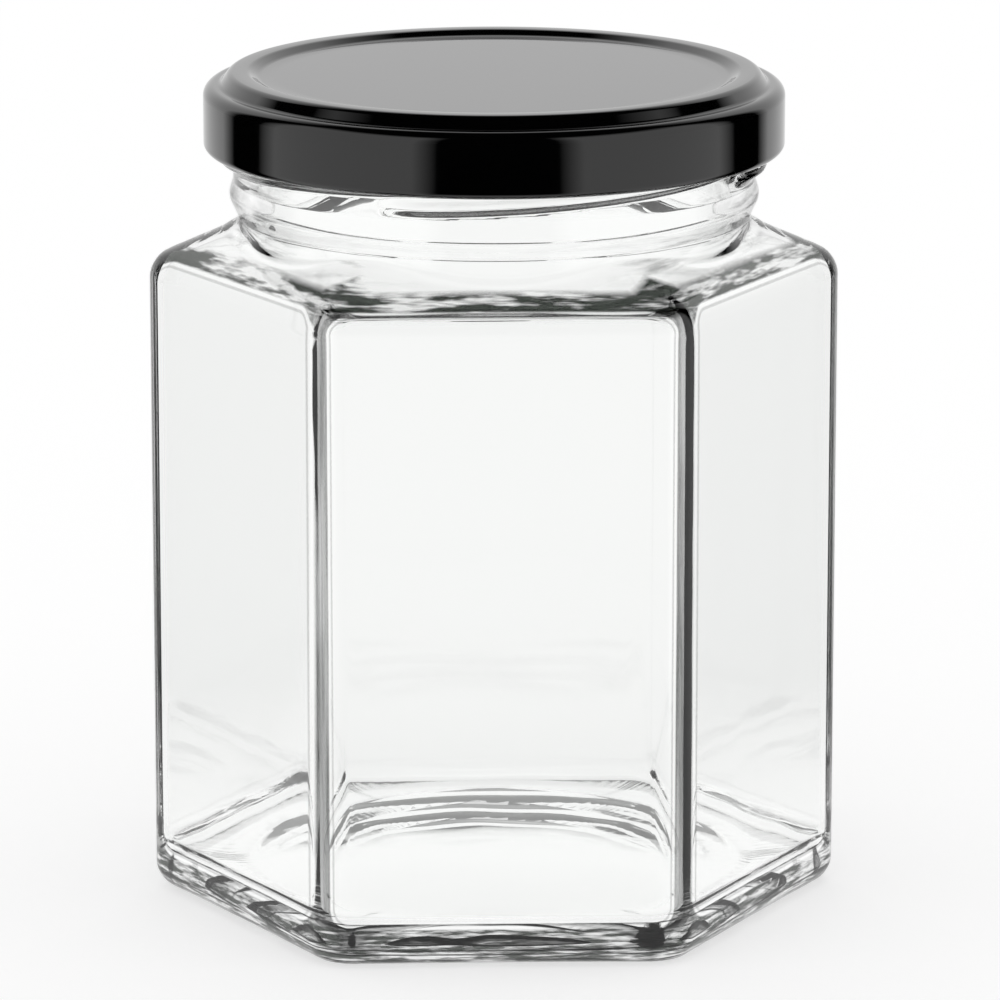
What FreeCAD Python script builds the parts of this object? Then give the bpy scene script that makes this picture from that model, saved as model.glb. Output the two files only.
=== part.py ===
"""Hexagonal glass jar with a twist-off metal lid, as a parametric FreeCAD document.

The jar stands on its base with the origin at the middle of its bearing plane, +Z up.
Two opposite flats face +Y and -Y, so two upright corners point along +X and -X.
Everything is in millimetres and degrees.
"""
import FreeCAD, Part
import math
import os

import Sketcher

SIZES = {
    # glass, outside
    "across_flats": 69.9,           # width over two opposite flats
    "corner_round": 4.5,            # rounding of the six upright corners
    "shoulder_edge": 74.9,          # level at which the shoulder's six facets meet the walls
    "shoulder_rise": 0.45,          # rise of a facet for each mm inwards
    "shoulder_round": 3.4,          # rounding between facets and walls
    "facet_share": 0.8,             # facets run in under the neck, to this share of its radius
    "heel_round": 3.0,              # rounding between walls and base
    "pushup_radius": 27.0,          # hollow under the base, half its width
    "pushup_rise": 2.4,             # hollow under the base, its depth
    # neck and finish
    "neck_radius": 29.95,           # plain wall of the finish
    "neck_wall": 2.65,              # thickness of the neck
    "waist_inset": 0.55,            # narrow stretch under the bead, inside the neck's radius
    "waist_height": 2.7,            # from the middle of a facet's upper end to the bead
    "waist_round": 1.5,             # rounding between facets and waist
    "bead_proud": 0.55,             # transfer bead, outside the neck's radius
    "bead_height": 4.2,             # bead, from its lower to its upper edge
    "bead_crest": 1.6,              # bead, height of its upright crest
    "bead_round": 1.0,              # roundings of the bead
    "finish_height": 12.0,          # from the bead up to the sealing rim
    "rim_outer_round": 0.8,
    "rim_inner_round": 1.4,
    # thread: ridges that climb anticlockwise round the finish
    "thread_starts": 4,
    "thread_first": -118.0,         # bearing of the lower end of the first ridge
    "thread_depth": 10.65,          # from the sealing rim down to a ridge's lower end
    "thread_lead": 9.3,             # climb in a whole turn
    "thread_sweep": 150.0,          # how far round each ridge runs
    "thread_taper": 14.0,           # run-out at each end of a ridge
    "thread_half": 0.65,            # half the width of a ridge at its root
    "thread_proud": 1.35,           # how far a ridge stands out of the wall
    "thread_bury": 0.6,             # how deep a ridge's root starts inside the wall
    # glass, inside
    "wall": 2.3,                    # thickness of the six flat walls
    "inner_corner_round": 3.0,      # upright corners of the cavity
    "shoulder_wall": 2.7,           # upright thickness of the shoulder
    "inner_shoulder_round": 2.2,    # rounding between cavity walls and shoulder
    "bore_round": 2.0,              # rounding between shoulder and bore
    "floor_height": 4.4,            # cavity floor at the walls
    "floor_rise": 1.3,              # how far the floor swells at its middle
    "floor_dome_radius": 29.0,      # half the width of that swelling
    "floor_round": 2.2,             # rounding between cavity floor and walls
    # lid
    "sheet": 0.3,                   # thickness of the metal
    "lid_height": 8.95,             # from the lowest to the highest point of the lid
    "curl": 0.9,                    # half the thickness of the rolled lower edge
    "curl_gap": 0.2,                # clearance from the rolled edge to the thread
    "ledge_drop": 1.45,             # ledge round the raised ring, below the crest
    "ring_spare": 0.35,             # crest of the ring, beyond the outside of the finish
    "ring_slope": 1.05,             # run of the ring's outer slope down to the ledge
    "ring_inset": 0.8,              # inner edge of the crest, outside the bore's radius
    "panel_gap": 0.35,              # flat middle of the lid, inside the bore's radius
    "panel_drop": 0.65,             # flat middle of the lid, below the crest
    "skirt_round": 1.3,             # rounding at the top of the skirt
    "crest_round": 0.7,             # roundings of the raised ring
    "ledge_round": 0.5,             # hollow rounding where ring and ledge meet
    "panel_round": 0.7,             # hollow rounding where ring and panel meet
    "lug_thickness": 0.55,
    "lug_sweep": 10.0,              # width of a lug, as an angle
    "lug_run": 143.0,               # bearing of a lug from its ridge's lower end
    "lug_gap": 0.1,                 # clearance from a lug to the ridge above it
    "lug_neck_gap": 0.5,            # clearance from a lug to the wall of the finish
}

# Sizes that follow from the sheet, as expressions.
WAIST = "(sizes.neck_radius - sizes.waist_inset)"
BEAD = "(sizes.neck_radius + sizes.bead_proud)"
BORE = "(sizes.neck_radius - sizes.neck_wall)"
THREAD_CREST = "(sizes.neck_radius + sizes.thread_proud)"
WAIST_FOOT = f"(sizes.shoulder_edge + sizes.shoulder_rise * (sizes.across_flats / 2 - {WAIST}))"
BEAD_LOW = f"({WAIST_FOOT} + sizes.waist_height)"
BEAD_TOP = f"({BEAD_LOW} + sizes.bead_height)"
RIM = f"({BEAD_TOP} + sizes.finish_height)"
THREAD_LOW = f"({RIM} - sizes.thread_depth)"
INNER_EDGE = "(sizes.shoulder_edge + sizes.shoulder_rise * sizes.wall - sizes.shoulder_wall)"
CREST = f"({RIM} + sizes.sheet)"
LEDGE = f"({CREST} - sizes.ledge_drop)"
PANEL = f"({CREST} - sizes.panel_drop)"
CURL_RADIUS = f"({THREAD_CREST} + sizes.curl_gap + sizes.curl)"
CURL_LEVEL = f"({CREST} - sizes.lid_height + sizes.curl)"
SKIRT = f"({CURL_RADIUS} + sizes.curl)"
RING_OUTER = "(sizes.neck_radius + sizes.ring_spare)"
LEDGE_FOOT = f"({RING_OUTER} + sizes.ring_slope)"
RING_INNER = f"({BORE} + sizes.ring_inset)"
PANEL_EDGE = f"({BORE} - sizes.panel_gap)"
LUG_TOP = (f"({THREAD_LOW} + sizes.thread_lead * (sizes.lug_run - sizes.lug_sweep / 2) / 360"
           " - sizes.thread_half - sizes.lug_gap)")

TINY = 1e-4     # no larger than this counts as nothing
NEAR = 0.01     # as near as this counts as being in place


def make_sheet(doc):
    """The driving dimensions, one row each, with their names as aliases."""
    sheet = doc.addObject("Spreadsheet::Sheet", "sizes")
    for row, (name, size) in enumerate(SIZES.items(), start=1):
        sheet.set(f"A{row}", name)
        sheet.set(f"B{row}", str(size))
        sheet.setAlias(f"B{row}", name)
    doc.recompute()


def value(doc, expression):
    """What an expression over the sheet comes to."""
    return float(doc.sizes.evalExpression(expression))


def make_body(doc, name):
    """A body whose label is its name."""
    body = doc.addObject("PartDesign::Body", name)
    body.Label = name
    return body


def origin_item(body, role):
    """One of the planes or axes of the body's own origin."""
    return next(item for item in body.Origin.OriginFeatures if item.Role == role)


def new_sketch(body, name, role):
    """An empty sketch on one of the body's origin planes."""
    sketch = body.newObject("Sketcher::SketchObject", name)
    sketch.AttachmentSupport = [(origin_item(body, role), "")]
    sketch.MapMode = "FlatFace"
    body.Document.recompute()
    return sketch


def bind_point(sketch, edge, end, place, label):
    """Ties one point of a sketch to its two expressions; a zero lies on the axis."""
    for axis, constraint, expression in ((-2, "DistanceX", place[0]), (-1, "DistanceY", place[1])):
        size = float(sketch.evalExpression(expression))
        if abs(size) < TINY:
            sketch.addConstraint(Sketcher.Constraint("PointOnObject", edge, end, axis))
            continue
        index = sketch.addConstraint(Sketcher.Constraint(constraint, -1, 1, edge, end, size))
        sketch.renameConstraint(index, f"{label}_{constraint[-1]}")
        sketch.setExpression(f"Constraints.{label}_{constraint[-1]}", expression)


def profile_sketch(body, name, points):
    """A closed outline in the XZ plane; a point's first entry is its radius, its second its height."""
    sketch = new_sketch(body, name, "XZ_Plane")
    spots = [FreeCAD.Vector(*(float(sketch.evalExpression(text)) for text in point), 0) for point in points]
    count = len(points)
    for index in range(count):
        sketch.addGeometry(Part.LineSegment(spots[index], spots[(index + 1) % count]), False)
    for index in range(count):
        sketch.addConstraint(Sketcher.Constraint("Coincident", index, 2, (index + 1) % count, 1))
    for index, point in enumerate(points):
        bind_point(sketch, index, 1, point, f"p{index}")
    body.Document.recompute()
    return sketch


def dome_sketch(body, name, radius, low, high):
    """Half of a flat-based dome in the XZ plane, bounded above by an arc centred on the axis."""
    sketch = new_sketch(body, name, "XZ_Plane")
    reach, base, top = (float(sketch.evalExpression(text)) for text in (radius, low, high))
    rise = top - base
    bend = (reach ** 2 + rise ** 2) / (2 * rise)
    middle = FreeCAD.Vector(0, top - bend, 0)
    edge_angle = math.asin((bend - rise) / bend)
    sketch.addGeometry(Part.LineSegment(FreeCAD.Vector(0, base, 0), FreeCAD.Vector(reach, base, 0)), False)
    circle = Part.Circle(middle, FreeCAD.Vector(0, 0, 1), bend)
    sketch.addGeometry(Part.ArcOfCircle(circle, edge_angle, math.pi / 2), False)
    sketch.addGeometry(Part.LineSegment(FreeCAD.Vector(0, top, 0), FreeCAD.Vector(0, base, 0)), False)
    for first, first_end, second, second_end in ((0, 2, 1, 1), (1, 2, 2, 1), (2, 2, 0, 1)):
        sketch.addConstraint(Sketcher.Constraint("Coincident", first, first_end, second, second_end))
    sketch.addConstraint(Sketcher.Constraint("PointOnObject", 1, 3, -2))
    bind_point(sketch, 0, 1, ("0", low), "low")
    bind_point(sketch, 0, 2, (radius, low), "edge")
    bind_point(sketch, 2, 1, ("0", high), "high")
    body.Document.recompute()
    return sketch


def hexagon_sketch(body, name, across_flats):
    """A regular hexagon round the origin with two flats along X."""
    sketch = new_sketch(body, name, "XY_Plane")
    reach = float(sketch.evalExpression(across_flats)) / math.sqrt(3)
    turns = [math.radians(60 * step) for step in range(6)]
    spots = [FreeCAD.Vector(reach * math.cos(turn), reach * math.sin(turn), 0) for turn in turns]
    for index in range(6):
        sketch.addGeometry(Part.LineSegment(spots[index], spots[(index + 1) % 6]), False)
    circle = Part.Circle(FreeCAD.Vector(0, 0, 0), FreeCAD.Vector(0, 0, 1), reach)
    sketch.addGeometry(circle, True)
    sketch.addConstraint(Sketcher.Constraint("Coincident", 6, 3, -1, 1))
    for index in range(6):
        sketch.addConstraint(Sketcher.Constraint("Coincident", index, 2, (index + 1) % 6, 1))
        sketch.addConstraint(Sketcher.Constraint("PointOnObject", index, 1, 6))
    for index in range(1, 6):
        sketch.addConstraint(Sketcher.Constraint("Equal", 0, index))
    sketch.addConstraint(Sketcher.Constraint("Horizontal", 1))
    size = sketch.addConstraint(Sketcher.Constraint("Radius", 6, reach))
    sketch.renameConstraint(size, "reach")
    sketch.setExpression("Constraints.reach", f"({across_flats}) / sqrt(3)")
    body.Document.recompute()
    return sketch


def pad(body, sketch, name, length, start="0"):
    """Raises a sketch by a length, from a level above its plane."""
    feature = body.newObject("PartDesign::Pad", name)
    feature.Profile = sketch
    feature.setExpression("Length", length)
    sketch.setExpression(".AttachmentOffset.Base.z", start)
    body.Document.recompute()
    return feature


def add_facets(body, name, across_flats, level, neck):
    """Adds the six sloping facets of a shoulder, from the walls' upper end to inside the neck."""
    inner_flats = f"(2 * sizes.facet_share * {neck})"
    foot = hexagon_sketch(body, f"{name}_foot", across_flats)
    foot.setExpression(".AttachmentOffset.Base.z", level)
    head = hexagon_sketch(body, f"{name}_head", inner_flats)
    head.setExpression(".AttachmentOffset.Base.z",
                       f"{level} + sizes.shoulder_rise * ({across_flats} - {inner_flats}) / 2")
    feature = body.newObject("PartDesign::AdditiveLoft", name)
    feature.Profile = foot
    feature.Sections = [head]
    feature.Ruled = True
    body.Document.recompute()
    return feature


def turn(body, sketch, name, cut=False, angle="360"):
    """Revolves a sketch round the upright axis, and makes sure that it changed the solid."""
    before = 0 if body.Shape.isNull() else body.Shape.Volume
    feature = body.newObject("PartDesign::Groove" if cut else "PartDesign::Revolution", name)
    feature.Profile = sketch
    feature.ReferenceAxis = (sketch, ["V_Axis"])
    feature.Midplane = True
    feature.setExpression("Angle", angle)
    body.Document.recompute()
    gained = body.Shape.Volume - before
    if (gained < TINY and not cut) or (gained > -TINY and cut):
        raise RuntimeError(f"{name} changed nothing")
    return feature


def edge_names(shape, wanted):
    """Names of the edges for which wanted(edge) is true."""
    edges = enumerate(shape.Edges, start=1)
    return [f"Edge{index}" for index, edge in edges if not edge.Degenerated and wanted(edge)]


def fillet(body, name, radius, wanted):
    """Rounds the edges of the body's tip for which wanted(edge) is true."""
    base = body.Tip
    names = edge_names(base.Shape, wanted)
    if not names:
        raise RuntimeError(f"{name} found no edge")
    feature = body.newObject("PartDesign::Fillet", name)
    feature.Base = (base, names)
    feature.setExpression("Radius", radius)
    body.Document.recompute()
    return feature


def is_upright(edge):
    """Picks straight upright edges."""
    box = edge.BoundBox
    return max(box.XLength, box.YLength) < TINY < box.ZLength


def lies_at(height):
    """Picks edges that lie flat at one height."""
    return lambda edge: max(abs(edge.BoundBox.ZMin - height), abs(edge.BoundBox.ZMax - height)) < NEAR


def is_ring_at(radius, height):
    """Picks the full circle round the axis with this radius and height."""
    def wanted(edge):
        curve = edge.Curve
        if not isinstance(curve, Part.Circle) or not lies_at(height)(edge):
            return False
        return abs(curve.Radius - radius) < NEAR and edge.Length > 2 * math.pi * (radius - NEAR)
    return wanted


def is_corner_edge(edge):
    """Picks the edges that run up one of the six corners, over the shoulder too."""
    middle = edge.valueAt((edge.FirstParameter + edge.LastParameter) / 2)
    off = math.degrees(math.atan2(middle.y, middle.x)) % 60
    return edge.BoundBox.ZLength > TINY and min(off, 60 - off) < 1


def is_neck_foot(radius, low, high):
    """Picks the edges between these levels where the facets meet a round neck of this radius."""
    def wanted(edge):
        middle = edge.valueAt((edge.FirstParameter + edge.LastParameter) / 2)
        return (abs(math.hypot(middle.x, middle.y) - radius) < NEAR and not is_upright(edge)
                and low + TINY < edge.BoundBox.ZMin and middle.z < high - NEAR)
    return wanted


def make_outside(doc):
    """The jar's outer form as one solid: hexagonal body, shoulder, heel, neck and hollow base."""
    body = make_body(doc, "glass_outside")
    hexagon = hexagon_sketch(body, "body_outline", "sizes.across_flats")
    pad(body, hexagon, "hexagon", "sizes.shoulder_edge")
    add_facets(body, "shoulder", "sizes.across_flats", "sizes.shoulder_edge", WAIST)
    fillet(body, "shoulder_round", "sizes.shoulder_round", lies_at(doc.sizes.shoulder_edge))
    fillet(body, "corners", "sizes.corner_round", is_corner_edge)
    fillet(body, "heel", "sizes.heel_round", lies_at(0))

    crest_low = f"{BEAD_LOW} + (sizes.bead_height - sizes.bead_crest) / 2"
    crest_top = f"{BEAD_LOW} + (sizes.bead_height + sizes.bead_crest) / 2"
    neck = profile_sketch(body, "neck_outline", [
        ("0", "sizes.shoulder_edge"),
        (WAIST, "sizes.shoulder_edge"),
        (WAIST, BEAD_LOW),
        (BEAD, crest_low),
        (BEAD, crest_top),
        ("sizes.neck_radius", BEAD_TOP),
        ("sizes.neck_radius", RIM),
        ("0", RIM),
    ])
    turn(body, neck, "neck")
    fillet(body, "bead_lower_edge", "sizes.bead_round", is_ring_at(value(doc, BEAD), value(doc, crest_low)))
    fillet(body, "bead_upper_edge", "sizes.bead_round", is_ring_at(value(doc, BEAD), value(doc, crest_top)))
    fillet(body, "waist", "sizes.waist_round",
           is_neck_foot(value(doc, WAIST), doc.sizes.shoulder_edge, value(doc, BEAD_LOW)))
    fillet(body, "rim_outer_edge", "sizes.rim_outer_round",
           is_ring_at(doc.sizes.neck_radius, value(doc, RIM)))

    hollow = dome_sketch(body, "pushup_outline", "sizes.pushup_radius", "0", "sizes.pushup_rise")
    turn(body, hollow, "pushup", cut=True)
    return body


def make_inside(doc):
    """The cavity as one solid, from its swelling floor to above the rim, whose inner edge it rounds."""
    body = make_body(doc, "glass_inside")
    flats = "(sizes.across_flats - 2 * sizes.wall)"
    hexagon = hexagon_sketch(body, "cavity_outline", flats)
    pad(body, hexagon, "cavity", f"{INNER_EDGE} - sizes.floor_height", start="sizes.floor_height")
    add_facets(body, "ceiling", flats, INNER_EDGE, BORE)
    fillet(body, "ceiling_round", "sizes.inner_shoulder_round", lies_at(value(doc, INNER_EDGE)))
    fillet(body, "cavity_corners", "sizes.inner_corner_round", is_corner_edge)
    fillet(body, "floor_edge", "sizes.floor_round", lies_at(doc.sizes.floor_height))

    swelling = dome_sketch(body, "floor_outline", "sizes.floor_dome_radius",
                           "sizes.floor_height", "sizes.floor_height + sizes.floor_rise")
    turn(body, swelling, "floor", cut=True)

    above = f"{RIM} + sizes.rim_inner_round"
    bore = profile_sketch(body, "bore_outline", [
        ("0", INNER_EDGE),
        (BORE, INNER_EDGE),
        (BORE, RIM),
        (f"{BORE} + 2 * sizes.rim_inner_round", RIM),
        (f"{BORE} + 2 * sizes.rim_inner_round", above),
        ("0", above),
    ])
    turn(body, bore, "bore")
    fillet(body, "bore_edge", "sizes.bore_round",
           is_neck_foot(value(doc, BORE), value(doc, INNER_EDGE), value(doc, RIM)))
    fillet(body, "rim_inner_edge", "sizes.rim_inner_round", is_ring_at(value(doc, BORE), value(doc, RIM)))
    return body


def ridge_section(sheet, run, swell):
    """One cross-section of a ridge: half an ellipse out of the wall, closed by a chord inside it."""
    root = sheet.neck_radius - sheet.thread_bury
    half = sheet.thread_half * (1 + swell) / 2
    crest = sheet.neck_radius + sheet.thread_proud * swell
    level = sheet.thread_lead * run / 360
    turned = math.radians(run)

    def at(radius, height):
        return FreeCAD.Vector(radius * math.cos(turned), radius * math.sin(turned), height)

    whole = Part.Ellipse(at(crest, level), at(root, level + half), at(root, level))
    bow = Part.ArcOfEllipse(whole, -math.pi / 2, math.pi / 2).toShape()
    return Part.Wire([bow, Part.makeLine(at(root, level + half), at(root, level - half))])


def make_thread(doc):
    """The thread: one lofted ridge that swells out of the wall and sinks back, repeated round the neck."""
    sheet = doc.sizes
    sections = []
    steps = 15
    for step in range(steps + 1):
        run = sheet.thread_sweep * step / steps
        from_end = min(run, sheet.thread_sweep - run) / sheet.thread_taper
        sections.append(ridge_section(sheet, run, math.sin(math.pi / 2 * min(1.0, 0.1 + from_end))))
    ridge = Part.makeLoft(sections, True, False)
    ridges = []
    starts = int(sheet.thread_starts)
    for index in range(starts):
        feature = doc.addObject("Part::Feature", f"thread_ridge_{index + 1}")
        feature.Shape = ridge
        turned = FreeCAD.Rotation(FreeCAD.Vector(0, 0, 1), sheet.thread_first + 360 * index / starts)
        feature.Placement = FreeCAD.Placement(FreeCAD.Vector(0, 0, value(doc, THREAD_LOW)), turned)
        ridges.append(feature)
    return ridges


def make_jar(doc):
    """Glass: outside form and thread together, less the cavity."""
    outside = make_outside(doc)
    inside = make_inside(doc)
    blank = doc.addObject("Part::MultiFuse", "glass_blank")
    blank.Shapes = [outside] + make_thread(doc)
    jar = doc.addObject("Part::Cut", "jar")
    jar.Label = "jar"
    jar.Base = blank
    jar.Tool = inside
    doc.recompute()
    return jar


def press_lid(doc, lid):
    """The lid's pressing: raised ring, ledge and skirt, shelled from below to the sheet's thickness."""
    form = profile_sketch(lid, "lid_outline", [
        ("0", CURL_LEVEL),
        (SKIRT, CURL_LEVEL),
        (SKIRT, LEDGE),
        (LEDGE_FOOT, LEDGE),
        (RING_OUTER, CREST),
        (RING_INNER, CREST),
        (PANEL_EDGE, PANEL),
        ("0", PANEL),
    ])
    turn(lid, form, "pressing")
    roundings = (
        ("skirt_top", "sizes.skirt_round", SKIRT, LEDGE),
        ("ledge_hollow", "sizes.ledge_round", LEDGE_FOOT, LEDGE),
        ("ring_outer_edge", "sizes.crest_round", RING_OUTER, CREST),
        ("ring_inner_edge", "sizes.crest_round", RING_INNER, CREST),
        ("panel_hollow", "sizes.panel_round", PANEL_EDGE, PANEL),
    )
    for name, radius, reach, level in roundings:
        fillet(lid, name, radius, is_ring_at(value(doc, reach), value(doc, level)))

    base = lid.Tip
    under = [f"Face{index}" for index, face in enumerate(base.Shape.Faces, start=1)
             if face.BoundBox.ZMax < value(doc, CURL_LEVEL) + TINY]
    shell = lid.newObject("PartDesign::Thickness", "shell")
    shell.Base = (base, under)
    shell.setExpression("Value", "sizes.sheet")
    shell.Reversed = True
    doc.recompute()


def roll_edge(doc, lid):
    """The rolled lower edge of the skirt."""
    roll = new_sketch(lid, "curl_outline", "XZ_Plane")
    centre = FreeCAD.Vector(value(doc, CURL_RADIUS), value(doc, CURL_LEVEL), 0)
    roll.addGeometry(Part.Circle(centre, FreeCAD.Vector(0, 0, 1), doc.sizes.curl), False)
    bind_point(roll, 0, 3, (CURL_RADIUS, CURL_LEVEL), "middle")
    size = roll.addConstraint(Sketcher.Constraint("Radius", 0, doc.sizes.curl))
    roll.renameConstraint(size, "half_thickness")
    roll.setExpression("Constraints.half_thickness", "sizes.curl")
    turn(lid, roll, "rolled_edge")


def add_lugs(doc, lid):
    """The lugs: flat tabs from the rolled edge inwards, each under a thread ridge."""
    inner = "sizes.neck_radius + sizes.lug_neck_gap"
    lug = profile_sketch(lid, "lug_outline", [
        (inner, f"{LUG_TOP} - sizes.lug_thickness"),
        (CURL_RADIUS, f"{LUG_TOP} - sizes.lug_thickness"),
        (CURL_RADIUS, LUG_TOP),
        (inner, LUG_TOP),
    ])
    tab = turn(lid, lug, "lug", angle="sizes.lug_sweep")
    lugs = lid.newObject("PartDesign::PolarPattern", "lugs")
    lugs.Originals = [tab]
    lugs.Axis = (origin_item(lid, "Z_Axis"), [""])
    lugs.Angle = 360
    lugs.setExpression("Occurrences", "sizes.thread_starts")
    lid.Tip = lugs
    doc.recompute()


def make_lid(doc):
    """Lid: one pressing with a rolled edge and lugs, turned to where the thread holds it."""
    lid = make_body(doc, "lid")
    press_lid(doc, lid)
    roll_edge(doc, lid)
    add_lugs(doc, lid)
    lid.setExpression("Placement.Rotation.Angle", "sizes.thread_first + sizes.lug_run")
    doc.recompute()
    return lid


def check(doc, parts):
    """Stops on any object that failed, and on any part without a sound solid."""
    for item in doc.Objects:
        if {"Invalid", "Error"} & set(item.State):
            raise RuntimeError(f"{item.Name} failed: {item.State}")
    for part in parts:
        shape = part.Shape
        if shape.isNull() or not shape.isValid() or len(shape.Solids) != 1:
            raise RuntimeError(f"{part.Label} isn't one sound solid")


def main():
    doc = FreeCAD.newDocument("hexagonal_jar")
    make_sheet(doc)
    parts = [make_jar(doc), make_lid(doc)]
    doc.recompute()
    check(doc, parts)
    os.makedirs("parts", exist_ok=True)
    for part in parts:
        part.Shape.exportStep(f"parts/{part.Label}.step")
        box = part.Shape.BoundBox
        print(part.Label, "volume", round(part.Shape.Volume), "mm3, box",
              [round(value, 2) for value in (box.XMin, box.YMin, box.ZMin, box.XMax, box.YMax, box.ZMax)])


main()
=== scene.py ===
"""Hexagonal glass jar with a shut twist-off lid, standing on a pale studio floor.

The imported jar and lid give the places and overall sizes. The glass and the lid are turned
again here as smooth pieces, each standing for its own node.
"""
import logging
import math
from dataclasses import dataclass, field
from enum import Enum
from typing import Callable, Optional, Sequence, Union

import bmesh
import bpy
from mathutils import Matrix, Vector, noise


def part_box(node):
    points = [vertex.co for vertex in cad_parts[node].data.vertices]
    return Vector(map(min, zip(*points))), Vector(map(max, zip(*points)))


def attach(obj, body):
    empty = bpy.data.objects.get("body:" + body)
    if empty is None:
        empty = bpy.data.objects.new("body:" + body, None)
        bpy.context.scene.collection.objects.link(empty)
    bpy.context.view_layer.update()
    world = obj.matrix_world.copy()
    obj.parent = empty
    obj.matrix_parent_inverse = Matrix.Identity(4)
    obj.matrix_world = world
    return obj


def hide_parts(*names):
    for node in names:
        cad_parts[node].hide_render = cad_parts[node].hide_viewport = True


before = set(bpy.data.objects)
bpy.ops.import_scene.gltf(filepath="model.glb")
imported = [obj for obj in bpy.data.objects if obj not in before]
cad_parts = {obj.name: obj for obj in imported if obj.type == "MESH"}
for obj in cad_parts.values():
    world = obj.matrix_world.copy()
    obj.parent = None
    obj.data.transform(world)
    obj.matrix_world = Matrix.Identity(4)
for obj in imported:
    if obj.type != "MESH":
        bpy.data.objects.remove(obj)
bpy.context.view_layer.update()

MM = 0.001
FULL_TURN = 2 * math.pi
SIDES = 6
SIXTH = FULL_TURN / SIDES
TOUCH = 1e-7
log = logging.getLogger("hexagonal_jar")

Value = Union[float, bpy.types.NodeSocket]


class Skin(Enum):
    """The two sides of the glass, as the marks note them."""

    OUTSIDE = 1.0
    INSIDE = 0.0


def ramp(value: float, start: float, end: float) -> float:
    """Rises in a straight line from 0 at start to 1 at end."""
    return min(1.0, max(0.0, (value - start) / (end - start)))


def ease(value: float, start: float, end: float) -> float:
    """Rises from 0 at start to 1 at end with soft ends."""
    share = ramp(value, start, end)
    return share * share * (3 - 2 * share)


def turn_from_corner(bearing: float) -> float:
    """Gives the angle from a bearing to the nearest upright corner of the body."""
    return abs((bearing + SIXTH / 2) % SIXTH - SIXTH / 2)


@dataclass(frozen=True)
class Corner:
    """One corner of a turned outline, in metres."""

    reach: float
    level: float
    rounding: float = 0.0


def draw_outline(corners: Sequence[Corner],
                 pitch: Callable[[float, float], float]) -> bmesh.types.BMesh:
    """Draws half of a turned section in the XZ plane, rounds its corners and divides its lines.

    Args:
        corners: The sharp corners from one end of the outline to the other.
        pitch: Longest step wanted at a given reach and level.

    Returns:
        A bmesh of one open line.
    """
    line = bmesh.new()
    points = [line.verts.new((corner.reach, 0, corner.level)) for corner in corners]
    for first, second in zip(points, points[1:]):
        line.edges.new((first, second))
    for index in range(1, len(corners) - 1):
        rounding = corners[index].rounding
        if rounding <= 0:
            continue
        before, here, after = (Vector((c.reach, c.level)) for c in corners[index - 1:index + 2])
        turn = (here - before).angle(after - here)
        bmesh.ops.bevel(line, geom=[points[index]], offset=rounding * math.tan(turn / 2),
                        offset_type="OFFSET", segments=max(3, round(turn / math.radians(9))),
                        profile=0.5, affect="VERTICES", material=-1)
    for edge in list(line.edges):
        middle = (edge.verts[0].co + edge.verts[1].co) / 2
        cuts = math.ceil(edge.calc_length() / pitch(middle.x, middle.z)) - 1
        if cuts > 0:
            bmesh.ops.subdivide_edges(line, edges=[edge], cuts=cuts)
    return line


def spin_outline(line: bmesh.types.BMesh, steps: int) -> None:
    """Turns an outline once round the upright axis and closes its seam and poles.

    Args:
        line: The outline, which becomes the turned surface.
        steps: Number of steps round the axis.
    """
    bmesh.ops.spin(line, geom=line.verts[:] + line.edges[:], cent=(0, 0, 0), axis=(0, 0, 1),
                   dvec=(0, 0, 0), angle=FULL_TURN, steps=steps, use_merge=True, use_duplicate=False)
    bmesh.ops.remove_doubles(line, verts=line.verts[:], dist=TOUCH)


def finish_piece(name: str, surface: bmesh.types.BMesh) -> bpy.types.Object:
    """Makes an object of a bmesh, with outward faces and smooth shading.

    Args:
        name: Name of the piece.
        surface: The finished surface, which is freed.

    Returns:
        The object, linked to the scene.
    """
    bmesh.ops.recalc_face_normals(surface, faces=surface.faces[:])
    mesh = bpy.data.meshes.new(name)
    surface.to_mesh(mesh)
    surface.free()
    for face in mesh.polygons:
        face.use_smooth = True
    piece = bpy.data.objects.new(name, mesh)
    bpy.context.scene.collection.objects.link(piece)
    return piece


@dataclass(frozen=True)
class HexagonPlan:
    """Plan of the jar's body: a hexagon with rounded corners, two of them along X."""

    half_flats: float
    corner_round: float

    def reach(self, bearing: float) -> float:
        """Gives the distance from the axis to the outline.

        Args:
            bearing: Direction in radians, from +X towards +Y.

        Returns:
            The distance in metres.
        """
        off = turn_from_corner(bearing)
        middle = (self.half_flats - self.corner_round) / math.cos(SIXTH / 2)
        tangent = math.atan2(self.corner_round * math.sin(SIXTH / 2),
                             middle + self.corner_round * math.cos(SIXTH / 2))
        if off >= tangent:
            return self.half_flats / math.cos(SIXTH / 2 - off)
        across = middle * math.sin(off)
        return middle * math.cos(off) + math.sqrt(self.corner_round ** 2 - across ** 2)


@dataclass(frozen=True)
class Thread:
    """Ridges that climb anticlockwise round the finish of the neck."""

    low: float
    starts: int = 4
    first: float = math.radians(-118)
    lead: float = 9.3 * MM
    sweep: float = math.radians(150)
    taper: float = math.radians(16)
    half: float = 1.0 * MM
    proud: float = 1.35 * MM
    fullness: float = 1.5

    def rise(self, bearing: float, level: float) -> float:
        """Gives how far the thread stands out of the wall.

        Args:
            bearing: Direction in radians.
            level: Height in metres.

        Returns:
            The distance in metres, 0 away from every ridge.
        """
        most = 0.0
        for start in range(self.starts):
            run = (bearing - self.first - FULL_TURN * start / self.starts) % FULL_TURN
            if run > self.sweep:
                continue
            swell = ease(min(run, self.sweep - run), 0, self.taper)
            off = abs(level - self.low - self.lead * run / FULL_TURN) / self.half
            if off < 1:
                most = max(most, self.proud * swell * math.cos(off * math.pi / 2) ** self.fullness)
        return most


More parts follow.
